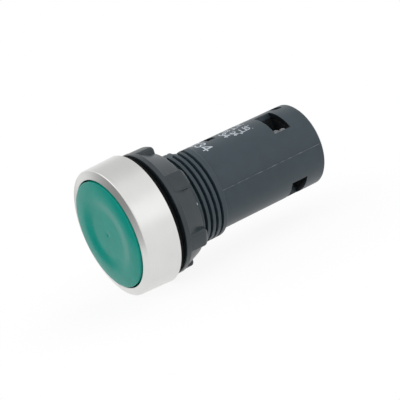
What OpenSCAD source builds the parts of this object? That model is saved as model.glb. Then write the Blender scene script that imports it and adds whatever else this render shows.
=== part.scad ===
// Panel pushbutton: low dished cap, round bezel, threaded barrel with a lobed fixing nut,
// and a round contact body with four side wire entries, one make pole and one break pole.
// Axis along Y with the button facing -Y. Origin: panel face, on the axis. Millimetres.

/* [Panel fixing] */
// Crest diameter of the barrel's thread
thread_d = 21.6; // [21.2:0.1:22]
// Thread pitch
thread_pitch = 1.5; // [1.25:0.05:1.6]
// Depth of the thread
thread_depth = 0.85; // [0.6:0.05:0.95]
// Width of each thread crest
crest_w = 0.35; // [0.2:0.05:0.4]
// Number of thread crests behind the panel neck
thread_crests = 7; // [5:1:7]
// Distance from the panel face to the first crest
first_crest = 3.35; // [3:0.05:3.6]
// Plain neck that the panel hole sits on
neck_len = 1; // [0.8:0.05:1.1]
// Distance from the axis to the indexing flat on top of the thread
key_flat = 10.4; // [10.1:0.05:10.6]
// Diameter of the collar behind the thread
collar_d = 20.2; // [19.8:0.1:20.8]
// Length of the collar
collar_len = 1.7; // [1.2:0.1:2.5]
// Depth of the gasket's seat under the thread's crests
seat_depth = 0.3; // [0.2:0.05:0.4]
// Bore of the barrel
barrel_bore = 17.2; // [16.8:0.1:17.6]
// Distance between the gasket and the nut
panel_gap = 1.2; // [1.2:0.1:2.5]

/* [Gasket and bezel] */
// How far the gasket's edge lies inside the bezel's
gasket_inset = 0.4; // [0.2:0.05:1]
// Thickness of the panel gasket
gasket_t = 0.8; // [0.6:0.1:1.2]
// Diameter of the bezel at the panel
bezel_d = 29.5; // [29.2:0.1:31]
// How much narrower the bezel's radius is at its front shoulder
bezel_taper = 0.35; // [0.2:0.05:0.8]
// Length of the bezel's side, from the panel side to the shoulder
bezel_len = 7.7; // [7:0.1:9]
// Radius on the shoulder's edge
shoulder_round = 0.3; // [0.1:0.05:0.5]
// Rise of the sloping front ring from the shoulder to the lip
lip_rise = 0.65; // [0.3:0.05:1]
// Thickness of the lip around the opening
lip_t = 0.9; // [0.7:0.05:1.1]
// Width of the sloping front ring, from the shoulder to the opening
ring_w = 2; // [1.85:0.05:2.4]
// Wall of the bezel's side at the shoulder
bezel_wall = 1; // [0.8:0.05:1]

/* [Button] */
// Travel of the button
travel = 4.3; // [3.8:0.1:4.5]
// Gap between the cap and the opening
cap_gap = 0.28; // [0.2:0.02:0.4]
// How far the cap's crown stands in front of the lip
cap_rise = 0.6; // [0.3:0.05:1]
// Width of the cap's rounded outer edge, outside the crown
cap_edge_w = 3.1; // [2:0.1:4]
// Drop of the cap's rounded outer edge
cap_edge_drop = 0.4; // [0.3:0.05:0.6]
// Depth of the finger dish in the cap
dish_depth = 0.4; // [0.2:0.05:0.6]
// Width of the slope around the dish's flat floor
dish_slope_w = 2.7; // [1.5:0.1:4]
// Thickness of the cap under the floor of the dish
cap_web = 1.2; // [0.8:0.05:1.5]
// Depth of the skirt under the cap
skirt_len = 1.15; // [0.8:0.05:1.3]
// Wall of the skirt
skirt_wall = 1.1; // [0.8:0.1:1.5]
// Diameter of the plunger's stem
stem_d = 6.8; // [6.4:0.1:7.2]
// Outer diameter of the cap's hub
hub_d = 9.6; // [9:0.1:10]
// Length of the cap's hub
hub_len = 3.45; // [2.5:0.05:3.8]
// Diameter of the centre dimple
dimple_d = 0.9; // [0.6:0.1:1.2]
// Depth of the centre dimple
dimple_depth = 0.12; // [0.05:0.01:0.2]

/* [Barrel inside] */
// Distance from the panel face to the guide web
web_y = 4; // [3.5:0.1:4.5]
// Thickness of the guide web
web_t = 2.4; // [2.2:0.1:2.8]
// Depth of the stem seal's seat in the web
seal_seat = 1.4; // [1.2:0.1:1.6]
// Diameter of the stem seal's seat
seal_d = 10.4; // [10:0.1:10.8]
// Coil diameter of the return spring, through the wire's middle
return_coil_d = 12.4; // [12.2:0.1:13]
// Wire of the return spring
return_wire = 0.8; // [0.6:0.05:0.9]
// Turns of the return spring
return_turns = 6; // [5:1:7]

/* [Fixing nut] */
// Thickness of the nut's flange
flange_t = 1.2; // [1:0.1:2]
// Length of the nut
nut_len = 5.9; // [5:0.1:6.5]
// Wall of the nut at its rear end, outside the thread
nut_wall = 1.2; // [1:0.1:1.6]
// Height of the flange and the lobes above that wall
lobe_h = 1.9; // [1.4:0.1:2.2]
// Bevel on the flange's front edge
flange_bevel = 0.2; // [0.1:0.05:0.4]
// Number of grip lobes
lobe_count = 6; // [5:1:8]
// Width of a grip lobe
lobe_w = 4.7; // [4:0.1:5.5]
// Radius on the rear corners of a lobe
lobe_round = 1.2; // [0.5:0.1:1.6]
// Angle of the first lobe from +X towards +Z
lobe_turn = 28.7; // [0:0.1:60]
// Radius on a lobe's outer rear edge
lobe_edge = 1.1; // [0.3:0.1:1.4]
// How far the lobes stand inside the flange's edge and the nut's rear face
lobe_inset = 0.05; // [0.05:0.05:0.3]
// Height of the lobes above the gaps just behind the flange
grip_step = 0.15; // [0.1:0.05:0.3]

/* [Body] */
// Diameter of the contact body
body_d = 19.5; // [19.3:0.1:19.9]
// Wall of the contact body
body_wall = 1.3; // [1.1:0.05:1.35]
// Distance from the wire entries to the body's rear end
slot_back = 5.2; // [5:0.1:7]
// Bevel on the rear edge
rear_bevel = 0.3; // [0.1:0.05:0.5]
// Length of the spigot that plugs into the barrel
spigot_len = 5.5; // [4.5:0.1:6]
// Wall of the spigot
spigot_wall = 1.2; // [1:0.05:1.3]
// Thickness of the body's front shoulder
front_wall = 1.2; // [1:0.1:1.5]
// Width of the moulded parting seam
seam_w = 0.24; // [0.15:0.01:0.4]
// Height of the moulded parting seam
seam_h = 0.08; // [0.04:0.01:0.12]
// Length of a wire entry along the axis
slot_len = 4.3; // [4.2:0.05:4.5]
// Wall between the outer side of a wire entry and the base's edge, along X
slot_side = 0.6; // [0.5:0.05:0.8]
// Rib between two wire entries
rib_w = 2.5; // [2.2:0.1:2.8]
// Width of a snap window
snap_w = 3.4; // [2.8:0.1:3.6]
// Length of a snap window along the axis
snap_len = 2.2; // [1.8:0.1:2.4]
// Distance from the body's front end to the front snap window
snap_lead = 5.2; // [4.5:0.1:6]

/* [Rear cover and base] */
// Thickness of the rear cover
cover_t = 1.7; // [1.4:0.1:1.8]
// Diameter of a screwdriver hole
driver_d = 5; // [4.9:0.05:5.1]
// Height of a latch nib above its arm or prong
nib_h = 1.15; // [0.8:0.05:1.2]
// Thickness of a latch arm
latch_t = 1; // [0.8:0.05:1.1]
// Wall of the base beside the contact chamber, along X
chamber_side = 1.45; // [1.2:0.05:1.5]
// Wall of the base above the contact chamber, along Z
chamber_roof = 2.35; // [2.2:0.05:2.4]
// Room in the chamber ahead of the break contact
chamber_lead = 3.93; // [3:0.01:5]
// Wall between the contact chamber and the terminals
chamber_wall = 1; // [0.8:0.1:1.1]
// Rib between the upper and lower terminals
level_rib = 1.8; // [1.6:0.1:2]

/* [Contacts] */
// Distance of each pole from the middle plane
pole_x = 4.2; // [4.1:0.05:4.3]
// Diameter of a contact tip
tip_d = 2; // [1.8:0.05:2.2]
// Thickness of a contact tip
tip_t = 0.5; // [0.3:0.05:0.6]
// Thickness of a terminal strip
strip_t = 0.8; // [0.6:0.05:0.85]
// Width of a terminal strip
strip_w = 2.6; // [2.3:0.1:2.7]
// Inner radius of a terminal strip's bends
bend_r = 0.3; // [0.2:0.05:0.5]
// Thickness of a bridge
bridge_t = 0.6; // [0.5:0.05:0.8]
// Width of a bridge
bridge_w = 2.6; // [2.3:0.1:2.7]
// Extra width of a bridge's ends on each side, outside its window
bridge_wing = 0.4; // [0.2:0.05:0.6]
// Length of the peg on a bridge that centres its spring
peg_len = 0.5; // [0.3:0.05:0.8]
// Opening of the make contact at rest
make_gap = 2.6; // [2.2:0.1:2.8]
// Free travel before the break contact opens
break_lag = 1.5; // [1.2:0.1:1.8]
// Length of the make contact spring at rest
make_spring_len = 7; // [6:0.1:7.5]
// Length of the break contact spring at rest
break_spring_len = 3.6; // [3.2:0.1:3.8]
// Distance from the carrier's rear end to the make bridge
make_bridge_back = 3.5; // [3.2:0.1:3.8]
// Coil diameter of a contact spring, through the wire's middle
contact_coil_d = 1.9; // [1.6:0.1:2]
// Wire of a contact spring
contact_wire = 0.34; // [0.25:0.01:0.36]
// Turns of a contact spring
contact_turns = 5; // [4:1:6]
// Width of the contact carrier
carrier_w = 13.2; // [12.8:0.1:13.2]
// Thickness of the contact carrier
carrier_t = 3.8; // [3.4:0.1:3.8]
// Bevel on the carrier's corners
carrier_bevel = 0.9; // [0.4:0.1:1.2]
// Wall behind the break spring
carrier_wall = 0.9; // [0.7:0.1:1.1]

/* [Terminals] */
// Width of a terminal plate
plate_w = 4.6; // [4.2:0.1:4.7]
// Distance from the terminal strips down to the screws
screw_drop = 2.6; // [2.5:0.05:2.7]
// Thread diameter of a terminal screw
screw_d = 2.9; // [2.5:0.1:3]
// Head diameter of a terminal screw
head_d = 4.6; // [4.2:0.1:4.7]
// Head height of a terminal screw
head_h = 1.8; // [1.4:0.1:1.9]
// Length of screw beyond the terminal plate
screw_tail = 0.9; // [0.6:0.1:1]
// Thickness of a wire clamp plate
clamp_t = 0.8; // [0.6:0.05:1]
// Distance from the terminal strips down to a clamp plate
clamp_drop = 0.4; // [0.3:0.05:0.6]
// Width of a wire clamp plate
clamp_w = 4; // [3.6:0.1:4.4]
// Length of a clamp plate's turned-up ears
ear_len = 0.6; // [0.4:0.05:0.8]
// Width of a clamp plate's turned-up ears
ear_w = 0.8; // [0.6:0.05:1]

/* [Hidden] */
$fn = 96;

// Clearances
fixed_gap = 0.05;
running_gap = 0.2;
plug_gap = 0.1;
stop_gap = 0.3;
touch_gap = 0.02;
cut = 1;

// Bezel, gasket and cup, along the axis
bezel_rear = -gasket_t;
shoulder_y = bezel_rear - bezel_len;
lip_y = shoulder_y - lip_rise;
lip_back = lip_y + lip_t;
cup_front = lip_back + fixed_gap;
bezel_r = bezel_d / 2;
gasket_r = bezel_r - gasket_inset;
shoulder_r = bezel_r - bezel_taper;
opening_r = shoulder_r - ring_w;
bezel_bore_r = shoulder_r - bezel_wall;
cup_out_r = bezel_bore_r - fixed_gap;
cup_in_r = opening_r + fixed_gap;

// Thread
crest_r = thread_d / 2;
root_r = crest_r - thread_depth;
flank_w = (thread_pitch - 2 * crest_w) / 2;
gasket_seat_r = crest_r - seat_depth;
collar_y = first_crest + (thread_crests - 0.5) * thread_pitch + flank_w / 2;
collar_chamfer = 0.2;
barrel_end = collar_y + collar_len;
barrel_bore_r = barrel_bore / 2;

// Cap and plunger stem
cap_r = opening_r - cap_gap;
cap_top = lip_y - cap_rise;
crown_r = cap_r - cap_edge_w;
dish_r = crown_r - dish_slope_w;
cap_under = cap_top + dish_depth + cap_web;
skirt_end = cap_under + skirt_len;
cup_floor = skirt_end + travel + stop_gap;
stem_r = stem_d / 2;
carrier_front = web_y + web_t + fixed_gap;

// Body and base
body_r = body_d / 2;
bore_r = body_r - body_wall;
spigot_r = barrel_bore_r - plug_gap;
spigot_in_r = spigot_r - spigot_wall;
spigot_y = barrel_end - spigot_len;
base_r = bore_r - plug_gap;
base_front = barrel_end + front_wall + fixed_gap;
slot_far = base_r - slot_side;
snap_y = barrel_end + snap_lead;
latch_z = sqrt(pow(bore_r, 2) - pow(snap_w / 2, 2)) - plug_gap;

// Heights of the terminal strips, the tips under them and the arms that carry the tips
chamber_x = base_r - chamber_side;
chamber_z = base_r - chamber_roof;
strip_under = chamber_z - strip_t;
tip_z = strip_under - bend_r - tip_d / 2 - touch_gap;
arm_z = tip_z - tip_d / 2 - running_gap;
bridge_half = strip_under - running_gap;
screw_z = chamber_z - screw_drop;

// Contacts, from the chamber's front to the terminals
break_arm_y = base_front + chamber_lead;
break_tab_end = break_arm_y + strip_t;
break_bar_y = break_tab_end + 2 * tip_t + touch_gap;
break_bar_end = break_bar_y + bridge_t;
break_window_y = break_bar_y - break_lag - touch_gap;
break_window_end = break_bar_end + break_spring_len;
carrier_end = break_window_end + carrier_wall;
make_bar_end = carrier_end - make_bridge_back;
make_bar_y = make_bar_end - bridge_t;
make_window_y = make_bar_y - make_spring_len;
make_arm_y = make_bar_end + 2 * tip_t + make_gap + touch_gap;
window_w = bridge_w + 2 * running_gap;
peg_r = (contact_coil_d - contact_wire) / 2 - running_gap;

// Terminals, wire entries and the rear end
chamber_end = carrier_end + travel + stop_gap;
plate_y = chamber_end + chamber_wall;
slot_y = plate_y + strip_t;
slot_end = slot_y + slot_len;
body_end = slot_end + slot_back;
cover_front = body_end - cover_t;
latch_y = cover_front - snap_len;
plate_bottom = level_rib / 2 + running_gap;
head_y = slot_end + running_gap;
clamp_y = slot_end - fixed_gap - clamp_t;
clamp_top = chamber_z - clamp_drop;
clamp_bottom = plate_bottom + running_gap;

// Turns an outline of [radius, y] points about the Y axis
module turned(outline) {
    rotate([-90, 0, 0])
        rotate_extrude()
            polygon(outline);
}

// A ring or disc between two places on the Y axis
module ring(inner_r, outer_r, y0, y1) {
    turned([[inner_r, y0], [outer_r, y0], [outer_r, y1], [inner_r, y1]]);
}

// A round bar along Y
module bar(r, y0, y1, x = 0, z = 0) {
    translate([x, y0, z])
        rotate([-90, 0, 0])
            cylinder(r = r, h = y1 - y0);
}

// A block between two corners
module block(low, high) {
    translate(low)
        cube(high - low);
}

// Carries a side view in [y, z] across a width about x
module across(x, width) {
    translate([x - width / 2, 0, 0])
        rotate([90, 0, 90])
            linear_extrude(width)
                children();
}

// Points on a bend about its middle, from one angle to another
function bend(middle, r, from, to) =
    let (steps = 5)
    [for (i = [0 : steps])
        let (a = from + (to - from) * i / steps)
        middle + r * [cos(a), sin(a)]];

// Copies above and below the middle plane
module upper_and_lower() {
    for (m = [0, 1])
        mirror([0, 0, m])
            children();
}

// Copies in all four corners
module four_corners() {
    for (m = [0, 1])
        mirror([m, 0, 0])
            upper_and_lower()
                children();
}

// Height of a spring's wire at a turn: one closed turn at each end, an even pitch between
function coil_height(turn, turns, wire, len) =
    let (closed = 1.08 * wire)
    turn < 1 ? wire / 2 + closed * turn
    : turn > turns - 1 ? len - wire / 2 - closed * (turns - turn)
    : wire / 2 + closed + (len - wire - 2 * closed) * (turn - 1) / (turns - 2);

// A compression spring along Y: a round wire swept along its coil
module coil_spring(coil_d, wire, len, turns, steps, sides) {
    last = turns * steps;
    wire_points = [
        for (i = [0 : last])
            let (a = 360 * i / steps, h = coil_height(i / steps, turns, wire, len))
            for (j = [0 : sides - 1])
                let (b = 360 * j / sides, r = (coil_d + wire * cos(b)) / 2)
                [r * cos(a), h + wire / 2 * sin(b), r * sin(a)]
    ];
    wire_faces = [
        for (i = [0 : last - 1], j = [0 : sides - 1])
            let (k = (j + 1) % sides)
            each [
                [i * sides + j, i * sides + k, (i + 1) * sides + k],
                [i * sides + j, (i + 1) * sides + k, (i + 1) * sides + j]
            ]
    ];
    ends = [
        [for (j = [0 : sides - 1]) sides - 1 - j],
        [for (j = [0 : sides - 1]) last * sides + j]
    ];
    polyhedron(wire_points, concat(wire_faces, ends));
}

// Rounded shoulder of the bezel, from its side to the sloping front ring
function shoulder_arc(steps) =
    [for (i = [0 : steps])
        let (a = 90 * i / steps)
        [shoulder_r - shoulder_round * (1 - cos(a)), shoulder_y - shoulder_round * sin(a)]];

module bezel() {
    color("silver")
        turned(concat(
            [[bezel_bore_r, bezel_rear], [bezel_r, bezel_rear]],
            shoulder_arc(6),
            [
                [opening_r + lip_t / 4, lip_y],
                [opening_r, lip_y + lip_t / 4],
                [opening_r, lip_back],
                [bezel_bore_r, lip_back]
            ]
        ));
}

// The cap's face, [radius, y]: a flat dish, the slope up to the crown and the rounded outer edge
function cap_face() =
    let (steps = 8, edge_steps = 6)
    concat(
        [[0, cap_top + dish_depth]],
        [for (i = [0 : steps])
            let (t = i / steps)
            [dish_r + dish_slope_w * t, cap_top + dish_depth * (1 + cos(180 * t)) / 2]],
        [for (i = [1 : edge_steps])
            let (a = 90 * i / edge_steps)
            [crown_r + cap_edge_w * sin(a), cap_top + cap_edge_drop * (1 - cos(a))]]
    );

module button_cap() {
    dish_y = cap_top + dish_depth;
    color("mediumseagreen")
        difference() {
            turned(concat(
                cap_face(),
                [
                    [cap_r, skirt_end],
                    [cap_r - skirt_wall, skirt_end],
                    [cap_r - skirt_wall, cap_under],
                    [hub_d / 2, cap_under],
                    [hub_d / 2, cap_under + hub_len],
                    [stem_r + fixed_gap, cap_under + hub_len],
                    [stem_r + fixed_gap, cap_under],
                    [0, cap_under]
                ]
            ));
            bar(dimple_d / 2, dish_y - cut, dish_y + dimple_depth);
        }
}

// Outline of the thread's ridges along the barrel
function thread_outline() =
    [for (i = [0 : thread_crests - 1])
        let (mid = first_crest + i * thread_pitch)
        each [
            [root_r, mid - crest_w / 2 - flank_w],
            [crest_r, mid - crest_w / 2],
            [crest_r, mid + crest_w / 2],
            [root_r, mid + crest_w / 2 + flank_w]
        ]];

module barrel() {
    color("dimgray")
        difference() {
            turned(concat(
                [
                    [cup_in_r, cup_front],
                    [cup_out_r, cup_front],
                    [cup_out_r, bezel_rear],
                    [gasket_seat_r, bezel_rear],
                    [gasket_seat_r, 0],
                    [crest_r, 0],
                    [crest_r, neck_len],
                    [root_r, neck_len + flank_w]
                ],
                thread_outline(),
                [
                    [root_r, collar_y],
                    [collar_d / 2, collar_y + collar_chamfer],
                    [collar_d / 2, barrel_end],
                    [barrel_bore_r, barrel_end],
                    [barrel_bore_r, web_y + web_t],
                    [stem_r + running_gap, web_y + web_t],
                    [stem_r + running_gap, web_y + seal_seat],
                    [seal_d / 2, web_y + seal_seat],
                    [seal_d / 2, web_y],
                    [barrel_bore_r, web_y],
                    [barrel_bore_r, cup_floor],
                    [cup_in_r, cup_floor]
                ]
            ));
            block([-crest_r, 0, key_flat], [crest_r, collar_y, crest_r + cut]);
        }
}

module stem_seal() {
    color("black")
        ring(stem_r + plug_gap, seal_d / 2 - fixed_gap, web_y + plug_gap, web_y + seal_seat);
}

module panel_gasket() {
    color("black")
        ring(gasket_seat_r + plug_gap, gasket_r, -gasket_t, 0);
}

// Side view of one grip lobe, across and along the axis, with rounded rear corners
function lobe_outline(len) =
    let (half = lobe_w / 2, steps = 6)
    concat(
        [[-half, 0], [half, 0]],
        [for (side = [1, -1], i = [0 : steps])
            let (a = 90 * (side > 0 ? i : steps - i) / steps)
            [side * (half - lobe_round * (1 - cos(a))), len - lobe_round * (1 - sin(a))]]
    );

module fixing_nut() {
    front = panel_gap;
    rear = panel_gap + nut_len;
    bore_ridge_r = crest_r + plug_gap;
    hub_r = bore_ridge_r + nut_wall;
    outer_r = hub_r + lobe_h;
    bore_groove_r = bore_ridge_r + thread_depth * 0.6;
    grooves = floor((nut_len - 1) / thread_pitch);
    lobe_foot = front + flange_t / 2;
    lobe_r = outer_r - lobe_inset;
    lobe_end = rear - lobe_inset;
    lobe_root_r = bore_ridge_r + nut_wall / 2;
    lobe_ring = concat(
        [[lobe_root_r, lobe_foot], [lobe_r, lobe_foot]],
        [for (i = [0 : 6])
            let (a = 15 * i)
            [lobe_r - lobe_edge * (1 - cos(a)), lobe_end - lobe_edge * (1 - sin(a))]],
        [[lobe_root_r, lobe_end]]
    );
    color("dimgray")
        difference() {
            union() {
                turned([
                    [bore_ridge_r, front],
                    [outer_r - flange_bevel, front],
                    [outer_r, front + flange_bevel],
                    [outer_r, front + flange_t],
                    [lobe_r - grip_step, front + flange_t],
                    [hub_r, rear],
                    [bore_ridge_r, rear]
                ]);
                for (i = [0 : lobe_count - 1])
                    rotate([0, -lobe_turn - 360 * i / lobe_count, 0])
                        intersection() {
                            turned(lobe_ring);
                            translate([0, lobe_foot, 0])
                                rotate([0, 90, 0])
                                    linear_extrude(outer_r + cut)
                                        polygon(lobe_outline(lobe_end - lobe_foot));
                        }
            }
            for (i = [0 : grooves - 1])
                let (y = front + 1 + i * thread_pitch)
                turned([
                    [bore_ridge_r - cut, y],
                    [bore_ridge_r, y],
                    [bore_groove_r, y + thread_pitch * 0.35],
                    [bore_ridge_r, y + thread_pitch * 0.7],
                    [bore_ridge_r - cut, y + thread_pitch * 0.7]
                ]);
        }
}

module body_shell() {
    color("slategray")
        difference() {
            union() {
                turned([
                    [spigot_in_r, spigot_y],
                    [spigot_r, spigot_y],
                    [spigot_r, barrel_end],
                    [body_r, barrel_end],
                    [body_r, body_end - rear_bevel],
                    [body_r - rear_bevel, body_end],
                    [bore_r, body_end],
                    [bore_r, barrel_end + front_wall],
                    [spigot_in_r, barrel_end + front_wall]
                ]);
                for (side = [0, 1])
                    mirror([side, 0, 0])
                        block(
                            [bore_r + body_wall / 2, barrel_end, -seam_w / 2],
                            [body_r + seam_h, body_end - rear_bevel, seam_w / 2]
                        );
            }
            four_corners()
                block([rib_w / 2, slot_y, cut], [slot_far, slot_end, body_d]);
            upper_and_lower() {
                block(
                    [-snap_w / 2, snap_y, bore_r - body_wall],
                    [snap_w / 2, snap_y + snap_len, body_d]
                );
                block(
                    [-snap_w / 2, latch_y, bore_r - body_wall],
                    [snap_w / 2, latch_y + snap_len, body_d]
                );
            }
        }
}

// A ramped latch nib that stands in a snap window, rising towards the front or the rear
module latch_nib(y, base_z, ramp_to_rear) {
    len = snap_len - 2 * running_gap;
    width = snap_w - 2 * running_gap;
    foot = 0.3;
    ramp = ramp_to_rear ? [[0, nib_h], [foot, nib_h], [len, foot]]
        : [[0, foot], [len - foot, nib_h], [len, nib_h]];
    outline = concat([[0, -latch_t / 2]], ramp, [[len, -latch_t / 2]]);
    translate([0, y + running_gap, base_z])
        across(0, width)
            polygon(outline);
}

module rear_cover() {
    color("slategray")
        difference() {
            union() {
                bar(base_r, cover_front, body_end);
                upper_and_lower() {
                    block(
                        [-snap_w / 2 + running_gap, latch_y + running_gap, latch_z - latch_t],
                        [snap_w / 2 - running_gap, cover_front + cover_t / 2, latch_z]
                    );
                    latch_nib(latch_y, latch_z, false);
                }
            }
            four_corners()
                bar(driver_d / 2, cover_front - cut, body_end + cut, pole_x, screw_z);
        }
}

module contact_base() {
    color("darkslategray")
        difference() {
            union() {
                bar(base_r, base_front, cover_front);
                upper_and_lower()
                    latch_nib(snap_y, base_r, true);
            }
            block([-chamber_x, base_front - cut, -chamber_z], [chamber_x, chamber_end, chamber_z]);
            four_corners() {
                block([rib_w / 2, plate_y, level_rib / 2], [slot_far, slot_end, body_d]);
                block(
                    [pole_x - strip_w / 2 - plug_gap, chamber_end - cut, strip_under - bend_r - plug_gap],
                    [pole_x + strip_w / 2 + plug_gap, plate_y + cut, chamber_z]
                );
                bar(screw_d / 2 + running_gap, chamber_end - cut, plate_y + cut, pole_x, screw_z);
                bar(head_d / 2 + running_gap, slot_end - cut, cover_front + cut, pole_x, screw_z);
            }
            upper_and_lower()
                block(
                    [-snap_w / 2, latch_y - running_gap, latch_z - latch_t - running_gap],
                    [snap_w / 2, cover_front + cut, body_d]
                );
        }
}

// Outline of the contact carrier, [x, y], with bevelled corners
function carrier_outline() =
    let (
        half = carrier_w / 2,
        inner = half - carrier_bevel,
        front = carrier_front,
        rear = carrier_end
    )
    [
        [-inner, front], [inner, front], [half, front + carrier_bevel],
        [half, rear - carrier_bevel], [inner, rear],
        [-inner, rear], [-half, rear - carrier_bevel], [-half, front + carrier_bevel]
    ];

// A window through the carrier for one bridge and its spring
module carrier_window(y0, y1, x) {
    block([x - window_w / 2, y0, -carrier_t], [x + window_w / 2, y1, carrier_t]);
}

module plunger() {
    color("ivory")
        difference() {
            union() {
                bar(stem_r, cap_under + fixed_gap, carrier_front + cut);
                translate([0, 0, -carrier_t / 2])
                    linear_extrude(carrier_t)
                        polygon(carrier_outline());
            }
            carrier_window(make_window_y, make_bar_end + touch_gap, pole_x);
            carrier_window(break_window_y, break_window_end, -pole_x);
        }
}

module return_spring() {
    color("silver")
        translate([0, cap_under, 0])
            coil_spring(return_coil_d, return_wire, web_y - cap_under, return_turns, 20, 8);
}

// One contact spring on its pole, from one end to the other
module contact_spring(x, y0, y1) {
    color("silver")
        translate([x, y0 + touch_gap, 0])
            coil_spring(contact_coil_d, contact_wire, y1 - y0 - 2 * touch_gap, contact_turns, 14, 6);
}

module make_spring() {
    contact_spring(pole_x, make_window_y, make_bar_y);
}

module break_spring() {
    contact_spring(-pole_x, break_bar_end, break_window_end);
}

// A contact bridge: a bar across both levels, waisted in its window, with a peg inside its spring
module bridge(x, y0, peg_end) {
    waist = carrier_t / 2 + running_gap;
    half = bridge_w / 2;
    color("goldenrod")
        union() {
            block([x - half, y0, -waist - cut], [x + half, y0 + bridge_t, waist + cut]);
            upper_and_lower()
                block(
                    [x - half - bridge_wing, y0, waist],
                    [x + half + bridge_wing, y0 + bridge_t, bridge_half]
                );
            bar(peg_r, min(y0, peg_end), max(y0 + bridge_t, peg_end), x);
        }
}

// Two silver contact tips, one on each level
module tips(x, y0) {
    color("whitesmoke")
        for (side = [-1, 1])
            bar(tip_d / 2, y0, y0 + tip_t, x, side * tip_z);
}

module make_bridge() {
    bridge(pole_x, make_bar_y, make_bar_y - peg_len);
}

module make_bridge_tips() {
    tips(pole_x, make_bar_end);
}

module make_fixed_tips() {
    tips(pole_x, make_arm_y - tip_t);
}

module break_bridge() {
    bridge(-pole_x, break_bar_y, break_bar_end + peg_len);
}

module break_bridge_tips() {
    tips(-pole_x, break_bar_y - tip_t);
}

module break_fixed_tips() {
    tips(-pole_x, break_tab_end);
}

// Side view of a terminal, [y, z]: screw plate, strip along the chamber wall, and contact arm
function terminal_outline(arm_y) =
    let (
        outer_r = bend_r + strip_t,
        front = [arm_y + outer_r, chamber_z - outer_r],
        rear = [slot_y - outer_r, chamber_z - outer_r]
    )
    concat(
        [[plate_y, plate_bottom], [slot_y, plate_bottom]],
        bend(rear, outer_r, 0, 90),
        bend(front, outer_r, 90, 180),
        [[arm_y, arm_z], [arm_y + strip_t, arm_z]],
        bend(front, bend_r, 180, 90),
        bend(rear, bend_r, 90, 0)
    );

// A terminal bent from one strip, with a wider screw plate
module terminal(x, arm_y) {
    color("gold")
        difference() {
            union() {
                across(x, strip_w)
                    polygon(terminal_outline(arm_y));
                block(
                    [x - plate_w / 2, plate_y, plate_bottom],
                    [x + plate_w / 2, slot_y, strip_under - bend_r]
                );
            }
            bar(screw_d / 2 + fixed_gap, plate_y - cut, slot_y + cut, x, screw_z);
        }
}

module make_upper_terminal() {
    terminal(pole_x, make_arm_y);
}

module make_lower_terminal() {
    mirror([0, 0, 1])
        terminal(pole_x, make_arm_y);
}

module break_upper_terminal() {
    terminal(-pole_x, break_arm_y);
}

module break_lower_terminal() {
    mirror([0, 0, 1])
        terminal(-pole_x, break_arm_y);
}

// Side view of a clamp plate through one ear, [y, z], with the ear turned towards the wire
function ear_outline() =
    let (inner_z = clamp_top - clamp_t)
    concat(
        [[clamp_y, clamp_bottom], [clamp_y + clamp_t, clamp_bottom]],
        bend([clamp_y, inner_z], clamp_t, 0, 90),
        [[clamp_y - ear_len, clamp_top], [clamp_y - ear_len, inner_z], [clamp_y, inner_z]]
    );

// One clamp plate under its screw head, with an ear at each side
module clamp_plate() {
    left = pole_x - clamp_w / 2;
    right = pole_x + clamp_w / 2;
    difference() {
        union() {
            block([left, clamp_y, clamp_bottom], [right, clamp_y + clamp_t, clamp_top - clamp_t]);
            for (x = [left + ear_w / 2, right - ear_w / 2])
                across(x, ear_w)
                    polygon(ear_outline());
        }
        bar(screw_d / 2 + fixed_gap, clamp_y - cut, clamp_y + clamp_t + cut, pole_x, screw_z);
    }
}

module clamp_plates() {
    color("lightgray")
        four_corners()
            clamp_plate();
}

// One terminal screw: shank, pan head and a cross recess
module terminal_screw() {
    slot_w = head_h / 3;
    slot_far_end = head_d * 0.36;
    difference() {
        union() {
            bar(screw_d / 2, plate_y - screw_tail, head_y + head_h / 2, pole_x, screw_z);
            bar(head_d / 2, clamp_y + clamp_t, head_y + head_h, pole_x, screw_z);
        }
        for (turn = [0, 90])
            translate([pole_x, head_y + head_h / 2, screw_z])
                rotate([0, turn, 0])
                    block([-slot_far_end, 0, -slot_w / 2], [slot_far_end, head_h, slot_w / 2]);
    }
}

module terminal_screws() {
    color("lightsteelblue")
        four_corners()
            terminal_screw();
}

bezel();
button_cap();
barrel();
stem_seal();
panel_gasket();
fixing_nut();
body_shell();
rear_cover();
contact_base();
plunger();
return_spring();
make_bridge();
make_bridge_tips();
make_spring();
break_bridge();
break_bridge_tips();
break_spring();
make_upper_terminal();
make_lower_terminal();
make_fixed_tips();
break_upper_terminal();
break_lower_terminal();
break_fixed_tips();
clamp_plates();
terminal_screws();
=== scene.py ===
import bmesh
import bpy
import numpy as np
from mathutils import Matrix, Vector


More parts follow.
